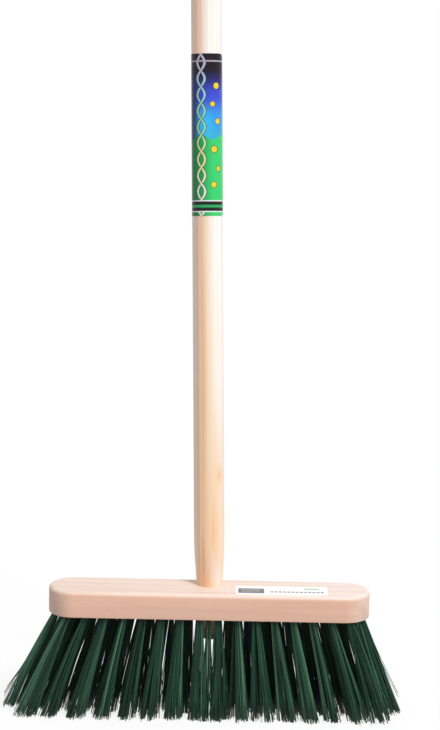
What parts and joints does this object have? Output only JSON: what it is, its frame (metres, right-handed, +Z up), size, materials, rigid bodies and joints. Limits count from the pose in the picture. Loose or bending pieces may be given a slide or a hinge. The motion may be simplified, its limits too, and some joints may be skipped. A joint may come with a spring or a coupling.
{
  "type": "floor broom",
  "caption": "Floor broom: a long flat wooden head filled with fanned green plastic bristle tufts, on a round wooden handle that leans back, its tapered foot wedged through the head.",
  "frame": {"origin": "on the floor that the bristle tips stand on, at the middle of the broom's whole width and depth", "axes": "+Z up from the floor, +X along the head to the right seen from the front, +Y to the back, where the handle leans"},
  "size_m": [0.3734, 0.3103, 1.3428],
  "materials": {
    "beech_block": "plain planed beech, satin",
    "pine_handle": "pale sanded pine with tan streaks, satin",
    "printed_film": "glossy shrink film printed from navy over blue to green",
    "label_paper": "white printed paper",
    "bristle": "dark green plastic filaments"
  },
  "bodies": {
    "root": {"block": "beech_block", "handle": "pine_handle", "handle_sleeve": "printed_film", "head_label": "label_paper", "tuft_back_left_2": "bristle", "tuft_back_left_3": "bristle", "tuft_back_left_4": "bristle", "tuft_back_left_5": "bristle", "tuft_back_left_6": "bristle", "tuft_back_left_7": "bristle", "tuft_back_left_8": "bristle", "tuft_back_right_2": "bristle", "tuft_back_right_3": "bristle", "tuft_back_right_4": "bristle", "tuft_back_right_5": "bristle", "tuft_back_right_6": "bristle", "tuft_back_right_7": "bristle", "tuft_back_right_8": "bristle", "tuft_centre_left_1": "bristle", "tuft_centre_left_2": "bristle", "tuft_centre_left_3": "bristle", "tuft_centre_left_4": "bristle", "tuft_centre_left_5": "bristle", "tuft_centre_left_6": "bristle", "tuft_centre_left_7": "bristle", "tuft_centre_left_8": "bristle", "tuft_centre_right_1": "bristle", "tuft_centre_right_2": "bristle", "tuft_centre_right_3": "bristle", "tuft_centre_right_4": "bristle", "tuft_centre_right_5": "bristle", "tuft_centre_right_6": "bristle", "tuft_centre_right_7": "bristle", "tuft_centre_right_8": "bristle", "tuft_front_left_1": "bristle", "tuft_front_left_2": "bristle", "tuft_front_left_3": "bristle", "tuft_front_left_4": "bristle", "tuft_front_left_5": "bristle", "tuft_front_left_6": "bristle", "tuft_front_left_7": "bristle", "tuft_front_left_8": "bristle", "tuft_front_middle": "bristle", "tuft_front_right_1": "bristle", "tuft_front_right_2": "bristle", "tuft_front_right_3": "bristle", "tuft_front_right_4": "bristle", "tuft_front_right_5": "bristle", "tuft_front_right_6": "bristle", "tuft_front_right_7": "bristle", "tuft_front_right_8": "bristle"}
  },
  "joints": []
}
